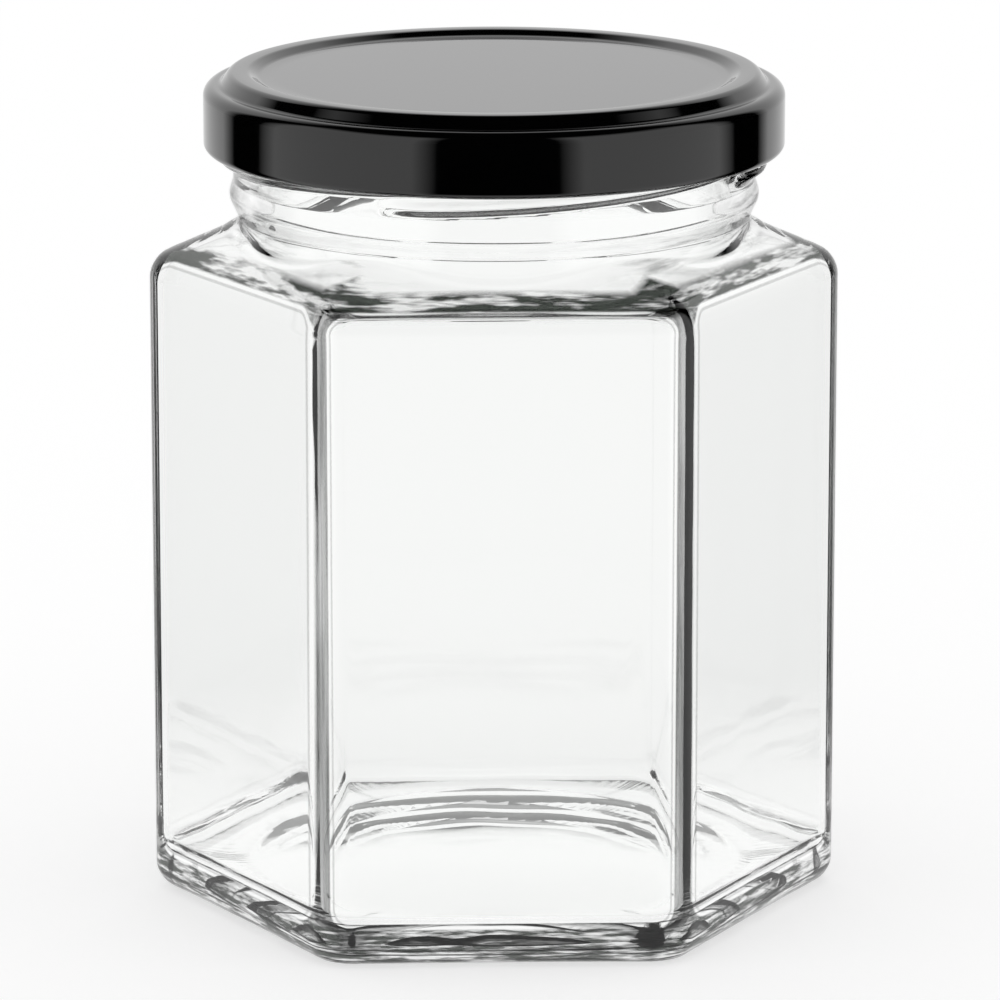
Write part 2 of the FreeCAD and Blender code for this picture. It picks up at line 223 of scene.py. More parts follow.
@dataclass
class GlassJar:
    """The jar: hexagonal body, faceted shoulder, short round neck, bead and thread, thick base."""

    steps: int = 240
    crowding: float = 0.85
    corner_round: float = 4.8 * MM
    heel_round: float = 3.0 * MM
    shoulder_rise: float = 0.45
    shoulder_round: float = 3.4 * MM
    neck_round: float = 1.8 * MM
    pushup_radius: float = 27.0 * MM
    pushup_rise: float = 2.4 * MM
    wall: float = 2.3 * MM
    inner_corner_round: float = 3.0 * MM
    shoulder_wall: float = 2.7 * MM
    inner_shoulder_round: float = 2.2 * MM
    floor_level: float = 4.4 * MM
    floor_rise: float = 1.3 * MM
    floor_dome: float = 29.0 * MM
    floor_round: float = 2.2 * MM
    floor_middle: float = 18.0 * MM
    base_zone: float = 20.0 * MM
    lift_zone: tuple[float, float] = (45.0 * MM, 66.0 * MM)
    scallop: float = 1.4
    shoulder_drop: float = 21.4 * MM
    neck_radius: float = 29.95 * MM
    neck_wall: float = 2.65 * MM
    waist_inset: float = 0.55 * MM
    bead_proud: float = 0.55 * MM
    bead_drop: float = 16.2 * MM
    bead_crest: float = 2.35 * MM
    bead_height: float = 4.2 * MM
    thread_drop: float = 10.65 * MM
    thread_rise: float = 3.3 * MM
    grip_depth: float = 0.15 * MM
    rim_width: float = 1.0 * MM
    rim_gap: float = 0.02 * MM
    wall_swell: float = 0.10 * MM
    wall_swell_size: float = 22 * MM
    floor_swell: float = 0.20 * MM
    floor_swell_size: float = 9 * MM
    floor_swell_zone: tuple[float, float] = (14 * MM, 5 * MM)
    thread_step: float = 0.25 * MM
    outer_step: float = 1.0 * MM
    floor_step: float = 0.7 * MM
    inner_step: float = 1.2 * MM
    rim_level: float = field(init=False)
    bead_low: float = field(init=False)
    thread_foot: float = field(init=False)
    shoulder_edge: float = field(init=False)
    outside: HexagonPlan = field(init=False)
    inside: HexagonPlan = field(init=False)
    thread: Thread = field(init=False)

    def __post_init__(self) -> None:
        """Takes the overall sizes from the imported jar."""
        _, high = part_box("jar")
        self.rim_level = high[2] - self.rim_gap
        self.bead_low = high[2] - self.bead_drop
        self.thread_foot = self.bead_low + self.thread_rise
        self.shoulder_edge = high[2] - self.shoulder_drop
        self.outside = HexagonPlan(high[1], self.corner_round)
        self.inside = HexagonPlan(high[1] - self.wall, self.inner_corner_round)
        self.thread = Thread(low=high[2] - self.thread_drop)

    def dome(self, away: float, radius: float, rise: float) -> float:
        """Gives the height of a shallow dome of this radius, 0 outside it."""
        return rise * max(0.0, 1 - (away / radius) ** 2)

    def crowd(self, bearing: float) -> float:
        """Draws the upright rows of points together towards the body's corners."""
        return bearing - self.crowding * math.sin(SIDES * bearing) / SIDES

    def outer_corners(self) -> list[Corner]:
        """Gives the outside's outline over the middle of a flat.

        Returns:
            Its corners, from the base up to the rim.
        """
        half = self.outside.half_flats
        waist = self.neck_radius - self.waist_inset
        bead = self.neck_radius + self.bead_proud
        low = self.bead_low
        return [
            Corner(0, 0),
            Corner(self.pushup_radius, 0),
            Corner(half, 0, self.heel_round),
            Corner(half, self.shoulder_edge, self.shoulder_round),
            Corner(waist, self.shoulder_edge + self.shoulder_rise * (half - waist),
                   self.neck_round),
            Corner(waist, low, 1.2 * MM),
            Corner(bead, low + self.bead_crest, 1.6 * MM),
            Corner(self.neck_radius, low + self.bead_height, 0.8 * MM),
            Corner(self.neck_radius, self.rim_level, 0.8 * MM),
            Corner(self.neck_radius - self.rim_width, self.rim_level),
        ]

    def inner_corners(self) -> list[Corner]:
        """Gives the cavity's outline over the middle of a flat.

        Returns:
            Its corners, from the rim down to the floor.
        """
        half = self.inside.half_flats
        bore = self.neck_radius - self.neck_wall
        edge = self.shoulder_edge + self.shoulder_rise * self.wall - self.shoulder_wall
        return [
            Corner(self.neck_radius - self.rim_width, self.rim_level),
            Corner(bore, self.rim_level, 1.4 * MM),
            Corner(bore, edge + self.shoulder_rise * (half - bore), 2.0 * MM),
            Corner(half, edge, self.inner_shoulder_round),
            Corner(half, self.floor_level, self.floor_round),
            Corner(0, self.floor_level),
        ]

    def widen(self, spot: Vector, plan: HexagonPlan, neck: float,
              ground: tuple[float, float]) -> tuple[float, float, float]:
        """Carries a turned point out to the hexagon, over the six facets of the shoulder.

        Args:
            spot: The point on the turned surface.
            plan: Plan of the body on this side of the glass.
            neck: Reach at which the shoulder meets the neck on this side.
            ground: Reaches between which the base or floor is drawn out.

        Returns:
            The point's new bearing, reach and level.
        """
        bearing = self.crowd(math.atan2(spot.y, spot.x))
        away = math.hypot(spot.x, spot.y)
        extra = plan.reach(bearing) - plan.half_flats
        if spot.z < self.base_zone:
            return bearing, away + extra * ramp(away, *ground), spot.z
        if spot.z >= self.bead_low:
            return bearing, away, spot.z
        share = ramp(away, neck, plan.half_flats - 1.5 * MM)
        towards_corner = ((1 + math.cos(SIDES * bearing)) / 2) ** self.scallop
        lift = self.shoulder_rise * neck * (1 - math.cos(SIXTH / 2)) * towards_corner
        foot = self.shoulder_edge + self.shoulder_rise * (plan.half_flats - neck)
        lift *= (1 - share) * ramp(spot.z, self.bead_low, foot) * ramp(spot.z, *self.lift_zone)
        return bearing, away + extra * share, spot.z + lift

    def ripple(self, spot: Vector, size: float, seed: float) -> float:
        """Gives soft unevenness of this size, about from -1 to 1, in a pattern of its own."""
        return noise.noise(Vector((spot.x, spot.y, spot.z * 0.5 + seed)) / size)

    def marks(self, bearing: float, away: float, skin: Skin) -> tuple[float, float, float, float]:
        """Notes corner distance, skin and reach for the painted shade in the glass colour, in
        centimetres.
        """
        off = away * math.sin(turn_from_corner(bearing))
        return off / (10 * MM), skin.value, away / (10 * MM), 1.0

    def shape_outside(self, surface: bmesh.types.BMesh) -> None:
        """Gives the turned outside its hexagon, hollow base, grip marks, thread and the marks that
        place the painted shade.

        Args:
            surface: The turned outside.
        """
        marks = surface.verts.layers.float_color.new("marks")
        neck = self.neck_radius - self.waist_inset
        ground = (self.pushup_radius, self.outside.half_flats - self.heel_round)
        for vert in surface.verts:
            row = round(math.atan2(vert.co.y, vert.co.x) * self.steps / FULL_TURN)
            bearing, away, level = self.widen(vert.co, self.outside, neck, ground)
            if level < TOUCH:
                level = self.dome(away, self.pushup_radius, self.pushup_rise)
                if away > self.pushup_radius + 1 * MM and row % 2:
                    level += self.grip_depth
            if level > self.thread_foot:
                away += self.thread.rise(bearing, level)
            vert.co = (away * math.cos(bearing), away * math.sin(bearing), level)
            vert[marks] = self.marks(bearing, away, Skin.OUTSIDE)

    def shape_inside(self, surface: bmesh.types.BMesh) -> None:
        """Gives the turned cavity its hexagon, swelling floor, blown unevenness and the marks that
        the painted shade reads.

        Args:
            surface: The turned cavity.
        """
        marks = surface.verts.layers.float_color.new("marks")
        bore = self.neck_radius - self.neck_wall
        ground = (self.floor_middle, self.inside.half_flats - self.floor_round)
        for vert in surface.verts:
            bearing, away, level = self.widen(vert.co, self.inside, bore, ground)
            if level < self.base_zone:
                level += self.dome(away, self.floor_dome, self.floor_rise)
            spot = Vector((away * math.cos(bearing), away * math.sin(bearing), level))
            low = ease(level, *self.floor_swell_zone)
            swell = self.wall_swell * self.ripple(spot, self.wall_swell_size, 3.0)
            swell += self.floor_swell * low * self.ripple(spot, self.floor_swell_size, 8.0)
            grow = 1 + swell / (33 * MM)
            vert.co = (spot.x * grow, spot.y * grow, level + swell / 2)
            vert[marks] = self.marks(bearing, away, Skin.INSIDE)

    def outer_pitch(self, reach: float, level: float) -> float:
        """Gives the longest step along the outside, which is finest on the thread.

        Args:
            reach: Distance from the axis.
            level: Height.

        Returns:
            The step in metres.
        """
        if level > self.thread_foot and reach > self.neck_radius - 0.5 * MM:
            return self.thread_step
        return self.outer_step

    def inner_pitch(self, reach: float, level: float) -> float:
        """Gives the longest step along the cavity, which is finer near the floor."""
        return self.floor_step if level < 12 * MM else self.inner_step

    def build(self) -> bpy.types.Object:
        """Turns, shapes and joins both sides of the glass.

        Returns:
            The jar as one closed piece.
        """
        skin = bmesh.new()
        for corners, pitch, shape in (
            (self.outer_corners(), self.outer_pitch, self.shape_outside),
            (self.inner_corners(), self.inner_pitch, self.shape_inside),
        ):
            side = draw_outline(corners, pitch)
            spin_outline(side, self.steps)
            shape(side)
            half = bpy.data.meshes.new("half")
            side.to_mesh(half)
            side.free()
            skin.from_mesh(half)
            bpy.data.meshes.remove(half)
        bmesh.ops.remove_doubles(skin, verts=skin.verts[:], dist=10 * TOUCH)
        return finish_piece("glass_jar", skin)

    def dress(self, piece: bpy.types.Object, finish: "ClearGlass") -> None:
        """Gives the glass its finish and its place in the frame.

        Args:
            piece: The jar.
            finish: What it is made of.
        """
        piece.data.materials.append(finish.material())
        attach(piece, "root")
        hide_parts("jar")


@dataclass
class TwistOffLid:
    """The lid: a lacquered pressing with a raised ring, a rolled lower edge and four lugs."""

    steps: int = 256
    sheet: float = 0.3 * MM
    curl: float = 0.9 * MM
    ledge_drop: float = 1.45 * MM
    panel_drop: float = 0.65 * MM
    ring_outer: float = 30.3 * MM
    ring_inner: float = 28.1 * MM
    ledge_foot: float = 31.35 * MM
    panel_edge: float = 26.95 * MM
    lug_inner: float = 30.45 * MM
    lug_low: float = 0.265 * MM
    lug_thick: float = 0.55 * MM
    lug_turn: float = math.radians(10)
    step: float = 2.0 * MM
    lug_first: float = math.radians(25)
    lugs: int = 4
    skirt: float = field(init=False)
    low: float = field(init=False)
    crest: float = field(init=False)

    def __post_init__(self) -> None:
        """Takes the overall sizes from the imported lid."""
        low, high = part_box("lid")
        self.skirt = high[0]
        self.low = low[2]
        self.crest = high[2]

    def corners(self) -> list[Corner]:
        """Gives the lid's section.

        Returns:
            Its corners, from the middle of the top round to the middle of the underside.
        """
        ledge = self.crest - self.ledge_drop
        panel = self.crest - self.panel_drop
        sheet = self.sheet
        roll = 2 * self.curl
        round_in = 0.3 * MM
        return [
            Corner(0, panel),
            Corner(self.panel_edge, panel, 1.2 * MM),
            Corner(self.ring_inner, self.crest, 0.9 * MM),
            Corner(self.ring_outer, self.crest, 0.9 * MM),
            Corner(self.ledge_foot, ledge, 0.6 * MM),
            Corner(self.skirt, ledge, 1.3 * MM),
            Corner(self.skirt, self.low, self.curl),
            Corner(self.skirt - roll, self.low, self.curl * 0.98),
            Corner(self.skirt - roll, self.low + roll, self.curl * 0.98),
            Corner(self.skirt - sheet, self.low + roll, round_in),
            Corner(self.skirt - sheet, ledge - sheet, 1.0 * MM),
            Corner(self.ledge_foot - sheet, ledge - sheet, 0.8 * MM),
            Corner(self.ring_outer - 0.15 * MM, self.crest - sheet, round_in),
            Corner(self.ring_inner + 0.15 * MM, self.crest - sheet, round_in),
            Corner(self.panel_edge + 0.15 * MM, panel - sheet, 1.2 * MM),
            Corner(0, panel - sheet),
        ]

    def add_lugs(self, surface: bmesh.types.BMesh) -> None:
        """Adds the lugs, each a short bent tab from the rolled edge inwards.

        Args:
            surface: The turned pressing, which gets the lugs.
        """
        outer = self.skirt - self.curl
        low = self.low + self.lug_low
        for index in range(self.lugs):
            middle = self.lug_first + FULL_TURN * index / self.lugs
            turned = Matrix.Rotation(middle - self.lug_turn / 2, 4, "Z")
            face = bmesh.ops.create_grid(surface, x_segments=1, y_segments=1, size=0.5)["verts"]
            tall = Matrix.Translation(((self.lug_inner + outer) / 2, 0, low + self.lug_thick / 2))
            upright = Matrix.Rotation(math.pi / 2, 4, "X")
            size = Matrix.Diagonal((outer - self.lug_inner, self.lug_thick, 1, 1))
            bmesh.ops.transform(surface, matrix=turned @ tall @ upright @ size, verts=face)
            flat = list({item for vert in face for item in vert.link_faces})
            rims = list({edge for vert in face for edge in vert.link_edges})
            bmesh.ops.spin(surface, geom=face + rims + flat, cent=(0, 0, 0), axis=(0, 0, 1),
                           dvec=(0, 0, 0), angle=self.lug_turn, steps=6, use_duplicate=False)

    def build(self) -> bpy.types.Object:
        """Turns the pressing and adds its lugs.

        Returns:
            The lid as one piece.
        """
        shell = draw_outline(self.corners(), lambda reach, level: self.step)
        spin_outline(shell, self.steps)
        self.add_lugs(shell)
        return finish_piece("twist_off_lid", shell)

    def dress(self, piece: bpy.types.Object, finish: "BlackLacquer") -> None:
        """Gives the lid its finish and its place in the frame.

        Args:
            piece: The lid.
            finish: What it is made of.
        """
        piece.data.materials.append(finish.material())
        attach(piece, "root")
        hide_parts("lid")


class Nodes:
    """A small helper that adds and joins the nodes of one tree."""

    def __init__(self, tree: bpy.types.NodeTree) -> None:
        """Empties the tree and keeps it."""
        self.tree = tree
        tree.nodes.clear()

    def add(self, kind: str, **settings: object) -> bpy.types.Node:
        """Adds a node.

        Args:
            kind: Blender's name of the node type.
            settings: Properties of the node, by name.

        Returns:
            The node.
        """
        node = self.tree.nodes.new(kind)
        for name, setting in settings.items():
            setattr(node, name, setting)
        return node

    def join(self, source: bpy.types.NodeSocket, target: bpy.types.NodeSocket) -> None:
        """Leads one socket into another."""
        self.tree.links.new(source, target)

    def give(self, item: Value, target: bpy.types.NodeSocket) -> None:
        """Leads a socket into the target, or sets a number on it.

        Args:
            item: The socket or number.
            target: The input that takes it.
        """
        if isinstance(item, bpy.types.NodeSocket):
            self.join(item, target)
        else:
            target.default_value = item

    def math(self, operation: str, *values: Value) -> bpy.types.NodeSocket:
        """Adds a Math node.

        Args:
            operation: Name of the operation.
            values: Numbers or sockets, in order.

        Returns:
            The node's result.
        """
        node = self.add("ShaderNodeMath", operation=operation)
        for item, target in zip(values, node.inputs):
            self.give(item, target)
        return node.outputs[0]

    def times(self, first: Value, second: Value) -> bpy.types.NodeSocket:
        """Multiplies two values."""
        return self.math("MULTIPLY", first, second)

    def most(self, first: Value, *others: Value) -> Value:
        """Gives the largest of some values.

        Args:
            first: The first value.
            others: The rest.

        Returns:
            The largest.
        """
        for item in others:
            first = self.math("MAXIMUM", first, item)
        return first

    def blend(self, share: Value, first: Value, second: Value) -> bpy.types.NodeSocket:
        """Goes from one value to another.

        Args:
            share: 0 for the first value, 1 for the second.
            first: The first value.
            second: The second value.

        Returns:
            The value between them.
        """
        mix = self.add("ShaderNodeMix", data_type="FLOAT")
        for name, item in (("Factor", share), ("A", first), ("B", second)):
            self.give(item, mix.inputs[name])
        return mix.outputs["Result"]

    def tones(self, share: bpy.types.NodeSocket, first: Sequence[float],
              second: Sequence[float]) -> bpy.types.NodeSocket:
        """Goes from one colour to another.

        Args:
            share: 0 for the first colour, 1 for the second.
            first: Red, green and blue of the first colour.
            second: Red, green and blue of the second colour.

        Returns:
            The colour between them.
        """
        mix = self.add("ShaderNodeMix", data_type="RGBA")
        mix.inputs["A"].default_value = (*first, 1)
        mix.inputs["B"].default_value = (*second, 1)
        self.join(share, mix.inputs["Factor"])
        return mix.outputs["Result"]

    def noise(self, place: bpy.types.NodeSocket, scale: Value, detail: Value,
              roughness: Value = 0.5) -> bpy.types.NodeSocket:
        """Adds a noise texture.

        Args:
            place: Place to read it at.
            scale: How fine it is.
            detail: Number of finer layers.
            roughness: Strength of the finer layers.

        Returns:
            The noise, about from 0.3 to 0.7.
        """
        node = self.add("ShaderNodeTexNoise")
        for name, item in (("Vector", place), ("Scale", scale), ("Detail", detail),
                           ("Roughness", roughness)):
            self.give(item, node.inputs[name])
        return node.outputs["Fac"]

    def spread(self, source: bpy.types.NodeSocket, low: Value, high: Value,
               from_low: float = 0.0, from_high: float = 1.0) -> bpy.types.NodeSocket:
        """Maps a value from one range to another.

        Args:
            source: The value.
            low: Result at from_low.
            high: Result at from_high.
            from_low: First end of the range of the source.
            from_high: Second end of the range of the source.

        Returns:
            The mapped value, kept between low and high.
        """
        node = self.add("ShaderNodeMapRange")
        for name, item in (("Value", source), ("From Min", from_low), ("From Max", from_high),
                           ("To Min", low), ("To Max", high)):
            self.give(item, node.inputs[name])
        return node.outputs["Result"]

    def fade(self, source: bpy.types.NodeSocket, start: float, end: float) -> bpy.types.NodeSocket:
        """Goes from 0 at start to 1 at end, whichever of them is larger."""
        return self.spread(source, 0.0, 1.0, start, end)

    def split(self, place: bpy.types.NodeSocket) -> bpy.types.NodeOutputs:
        """Separates a place.

        Args:
            place: The place.

        Returns:
            Its values, by the names X, Y and Z.
        """
        parts = self.add("ShaderNodeSeparateXYZ")
        self.join(place, parts.inputs[0])
        return parts.outputs


@dataclass(frozen=True)
class Unevenness:
    """Fine unevenness of a finish: roughness that changes from place to place, and shallow relief.

    Both finishes draw it by one node group, with their own values.
    """

    grain_scale: float
    grain_detail: float
    smoothest: float
    roughest: float
    relief_scale: float
    relief_detail: float
    relief_roughness: float
    strength: float
    depth: float

    def group(self) -> bpy.types.ShaderNodeTree:
        """Gives the node group, which is made when it is first asked for.

        Returns:
            The group, with outputs Roughness and Height.
        """
        made = bpy.data.node_groups.get("unevenness")
        if made:
            return made
        tree = bpy.data.node_groups.new("unevenness", "ShaderNodeTree")
        tree.interface.new_socket("Place", in_out="INPUT", socket_type="NodeSocketVector")
        for name in ("Grain Scale", "Grain Detail", "Smoothest", "Roughest",
                     "Relief Scale", "Relief Detail", "Relief Roughness"):
            tree.interface.new_socket(name, in_out="INPUT", socket_type="NodeSocketFloat")
        for name in ("Roughness", "Height"):
            tree.interface.new_socket(name, in_out="OUTPUT", socket_type="NodeSocketFloat")
        nodes = Nodes(tree)
        given = nodes.add("NodeGroupInput").outputs
        result = nodes.add("NodeGroupOutput").inputs
        grain = nodes.noise(given["Place"], given["Grain Scale"], given["Grain Detail"])
        nodes.join(nodes.spread(grain, given["Smoothest"], given["Roughest"]), result["Roughness"])
        relief = nodes.noise(given["Place"], given["Relief Scale"], given["Relief Detail"],
                             given["Relief Roughness"])
        nodes.join(relief, result["Height"])
        return tree

    def apply(self, nodes: Nodes, place: bpy.types.NodeSocket, shader: bpy.types.Node) -> None:
        """Leads the unevenness into a shader.

        Args:
            nodes: The material's tree.
            place: Place on the piece.
            shader: The shader that gets the roughness and the relief.
        """
        drawn = nodes.add("ShaderNodeGroup", node_tree=self.group())
        nodes.join(place, drawn.inputs["Place"])
        for name, setting in (
            ("Grain Scale", self.grain_scale), ("Grain Detail", self.grain_detail),
            ("Smoothest", self.smoothest), ("Roughest", self.roughest),
            ("Relief Scale", self.relief_scale), ("Relief Detail", self.relief_detail),
            ("Relief Roughness", self.relief_roughness),
        ):
            drawn.inputs[name].default_value = setting
        nodes.join(drawn.outputs["Roughness"], shader.inputs["Roughness"])
        bump = nodes.add("ShaderNodeBump")
        bump.inputs["Strength"].default_value = self.strength
        bump.inputs["Distance"].default_value = self.depth
        nodes.join(drawn.outputs["Height"], bump.inputs["Height"])
        nodes.join(bump.outputs["Normal"], shader.inputs["Normal"])


@dataclass(frozen=True)
class Streaks:
    """One streaky pattern of the painted shade in the glass."""

    stretch: tuple[float, float, float]
    contrast: tuple[float, float]
    weakest: float
    strongest: float
    detail: float = 3.0
    roughness: float = 0.7

    def draw(self, nodes: Nodes, place: bpy.types.NodeSocket) -> bpy.types.NodeSocket:
        """Draws the pattern.

        Args:
            nodes: The tree that gets the nodes.
            place: Place on the glass.

        Returns:
            The pattern, from its weakest to its strongest value.
        """
        scaled = nodes.add("ShaderNodeVectorMath", operation="MULTIPLY")
        scaled.inputs[1].default_value = self.stretch
        nodes.join(place, scaled.inputs[0])
        plain = nodes.noise(scaled.outputs[0], 1.0, self.detail, self.roughness)
        return nodes.spread(plain, self.weakest, self.strongest, *self.contrast)


@dataclass(frozen=True)
class ClearGlass:
    """Clear container glass, with painted shade in its colour: grey-green and streaky round the rim
    of each flat's window.

    All sizes but those of the unevenness are in millimetres, as the nodes use them.
    """

    tint: tuple[float, float, float] = (0.985, 0.99, 0.985)
    # darkest colour of the painted shade
    painted_shade_tint: tuple[float, float, float] = (0.0030, 0.0040, 0.0030)
    refraction: float = 1.52
    unevenness: Unevenness = Unevenness(
        grain_scale=900, grain_detail=1, smoothest=0.0, roughest=0.012,
        relief_scale=90, relief_detail=1, relief_roughness=0.4, strength=0.35, depth=0.12 * MM)
    # where and how the painted shade falls round each flat's window
    window_foot: float = 5.2
    window_top: float = 74.7
    window_round: float = 2.0
    margin: float = 0.5
    margin_grazing: float = 4.2
    rim_start: float = 0.45
    rim_full: float = 0.65
    rim_top: float = 77.1
    corner_lift: float = 1.2
    corner_reach: float = 3.0
    window_line_shade: float = 0.30
    upright: Streaks = Streaks((900, 900, 25), (0.35, 0.65), 0.42, 0.82)
    patches: Streaks = Streaks((80, 80, 800), (0.42, 0.54), 0.10, 0.98)
    ground: Streaks = Streaks((170, 170, 1500), (0.40, 0.56), 0.15, 0.95)
    neck_shade_streaks: Streaks = Streaks((70, 70, 700), (0.50, 0.68), 0.0, 0.6)

    def window(self, nodes: Nodes, off: bpy.types.NodeSocket, level: bpy.types.NodeSocket,
               facing: bpy.types.NodeSocket) -> bpy.types.NodeSocket:
        """Measures how far a spot lies outside the rounded window of its flat.

        Args:
            nodes: The tree that gets the nodes.
            off: Distance to the nearest corner plane.
            level: Height.
            facing: 0 where the glass is seen square on, 1 where it is seen edge on.

        Returns:
            The distance, negative inside the window.
        """
        middle = (self.window_foot + self.window_top) / 2
        half = (self.window_top - self.window_foot) / 2 - self.window_round
        margin = nodes.math("MULTIPLY_ADD", facing, self.margin_grazing,
                            self.margin + self.window_round)
        across = nodes.math("SUBTRACT", margin, off)
        from_middle = nodes.math("ABSOLUTE", nodes.math("SUBTRACT", level, middle))
        up = nodes.math("SUBTRACT", from_middle, half)
        wide, tall = nodes.most(across, 0.0), nodes.most(up, 0.0)
        square = nodes.math("MULTIPLY_ADD", wide, wide, nodes.times(tall, tall))
        inside = nodes.math("MINIMUM", nodes.most(across, up), 0.0)
        reach = nodes.math("ADD", nodes.math("SQRT", square), inside)
        return nodes.math("SUBTRACT", reach, self.window_round)

    def rim(self, nodes: Nodes, place: bpy.types.NodeSocket, off: bpy.types.NodeSocket,
            away: bpy.types.NodeSocket, level: bpy.types.NodeSocket,
            beyond: bpy.types.NodeSocket) -> bpy.types.NodeSocket:
        """Gives the painted shade of the streaky dark rim round the windows: corners, shoulder edge
        and heel.

        Args:
            nodes: The tree that gets the nodes.
            place: Place on the glass.
            off: Distance to the nearest corner plane.
            away: Distance from the axis.
            level: Height.
            beyond: Distance from the window.

        Returns:
            A share from 0 to 1.
        """
        low = nodes.fade(level, self.window_foot + 0.2, self.window_foot - 0.6)
        high = nodes.fade(level, self.window_top - 0.3, self.window_top + 0.7)
        below = nodes.blend(low, self.upright.draw(nodes, place), self.ground.draw(nodes, place))
        streaky = nodes.blend(high, below, self.patches.draw(nodes, place))
        lift = nodes.spread(off, self.corner_lift, 0.0, 0.0, self.corner_reach)
        under_top = nodes.fade(nodes.math("SUBTRACT", level, lift), self.rim_top, self.rim_top - 0.6)
        shaded = nodes.times(nodes.fade(beyond, self.rim_start, self.rim_full), under_top)
        heel = nodes.times(nodes.fade(level, 0.2, 0.5), nodes.fade(away, 31.0, 32.0))
        beside = nodes.most(heel, nodes.fade(level, 20.0, 30.0))
        return nodes.times(nodes.times(shaded, streaky), beside)

    def outline(self, nodes: Nodes, place: bpy.types.NodeSocket,
                facing: bpy.types.NodeSocket) -> bpy.types.NodeSocket:
        """Gives the painted shade of the dark outline where the glass is seen nearly edge on.

        Args:
            nodes: The tree that gets the nodes.
            place: Place on the glass.
            facing: 0 where the glass is seen square on, 1 where it is seen edge on.

        Returns:
            A share from 0 to 1.
        """
        streaky = nodes.spread(self.upright.draw(nodes, place), 0.6, 1.0,
                               self.upright.weakest, self.upright.strongest)
        return nodes.times(nodes.spread(facing, 0.0, 0.9, 0.60, 0.95), streaky)

    def neck_painted_shade(self, nodes: Nodes, place: bpy.types.NodeSocket, level: bpy.types.NodeSocket,
                   facing: bpy.types.NodeSocket) -> bpy.types.NodeSocket:
        """Gives the painted shade of the level dark streaks at the sides of the neck, from 0 to 1.
        """
        beside = nodes.times(self.neck_shade_streaks.draw(nodes, place), nodes.fade(facing, 0.25, 0.55))
        return nodes.times(beside, nodes.fade(level, self.rim_top, self.rim_top + 1.5))

    def depth(self, nodes: Nodes, place: bpy.types.NodeSocket) -> bpy.types.NodeSocket:
        """Gives the painted shade: how far the glass colour is darkened where the glass is entered
        from outside.

        Args:
            nodes: The tree that gets the nodes.
            place: Place on the glass.

        Returns:
            A share from 0 to 1.
        """
        marks = nodes.add("ShaderNodeSeparateColor")
        noted = nodes.add("ShaderNodeAttribute", attribute_name="marks")
        nodes.join(noted.outputs["Color"], marks.inputs[0])
        level = nodes.times(nodes.split(place)["Z"], 1 / MM)
        off = nodes.times(marks.outputs["Red"], 10.0)
        away = nodes.times(marks.outputs["Blue"], 10.0)
        facing = nodes.add("ShaderNodeLayerWeight").outputs["Facing"]
        beyond = self.window(nodes, off, level, facing)
        # painted shade: a thin dark line along the edge of each flat's window
        line = nodes.spread(nodes.math("ABSOLUTE", beyond), self.window_line_shade, 0.0, 0.08, 0.20)
        most = nodes.most(self.rim(nodes, place, off, away, level, beyond), line,
                          self.outline(nodes, place, facing),
                          self.neck_painted_shade(nodes, place, level, facing))
        leaving = nodes.add("ShaderNodeNewGeometry").outputs["Backfacing"]
        entering = nodes.most(nodes.math("SUBTRACT", marks.outputs["Green"], leaving), 0.0)
        return nodes.times(most, entering)

    def material(self) -> bpy.types.Material:
        """Makes the material.

        Returns:
            The glass.
        """
        stuff = bpy.data.materials.new("clear_glass")
        stuff.use_nodes = True
        nodes = Nodes(stuff.node_tree)
        place = nodes.add("ShaderNodeTexCoord").outputs["Object"]
        shader = nodes.add("ShaderNodeBsdfPrincipled")
        shader.inputs["Transmission Weight"].default_value = 1.0
        shader.inputs["IOR"].default_value = self.refraction
        # painted shade: the glass colour goes towards its darkest tint where the shade is full
        unshaded = nodes.math("SUBTRACT", 1.0, self.depth(nodes, place))
        colour = nodes.tones(nodes.times(unshaded, unshaded), self.painted_shade_tint, self.tint)
        nodes.join(colour, shader.inputs["Base Color"])
        self.unevenness.apply(nodes, place, shader)
        output = nodes.add("ShaderNodeOutputMaterial")
        nodes.join(shader.outputs["BSDF"], output.inputs["Surface"])
        return stuff


@dataclass(frozen=True)
class BlackLacquer:
    """Glossy black lacquer on tinplate, with a trace of orange peel."""

    dark: tuple[float, float, float] = (0.0004, 0.0004, 0.0005)
    light: tuple[float, float, float] = (0.0016, 0.0016, 0.0017)
    cloud_scale: float = 120.0
    refraction: float = 1.55
    unevenness: Unevenness = Unevenness(
        grain_scale=400, grain_detail=4, smoothest=0.03, roughest=0.07,
        relief_scale=1400, relief_detail=2, relief_roughness=0.5, strength=0.15, depth=0.004 * MM)

    def material(self) -> bpy.types.Material:
        """Makes the material.

        Returns:
            The lacquer.
        """
        stuff = bpy.data.materials.new("black_lacquer")
        stuff.use_nodes = True
        nodes = Nodes(stuff.node_tree)
        place = nodes.add("ShaderNodeTexCoord").outputs["Object"]
        shader = nodes.add("ShaderNodeBsdfPrincipled")
        shader.inputs["IOR"].default_value = self.refraction
        clouds = nodes.noise(place, self.cloud_scale, 3)
        nodes.join(nodes.tones(clouds, self.dark, self.light), shader.inputs["Base Color"])
        self.unevenness.apply(nodes, place, shader)
        output = nodes.add("ShaderNodeOutputMaterial")
        nodes.join(shader.outputs["BSDF"], output.inputs["Surface"])
        return stuff


@dataclass(frozen=True)
class LightBand:
    """One stretch of the surroundings, by its angle from straight behind the jar."""

    start: float
    end: float
    level: float


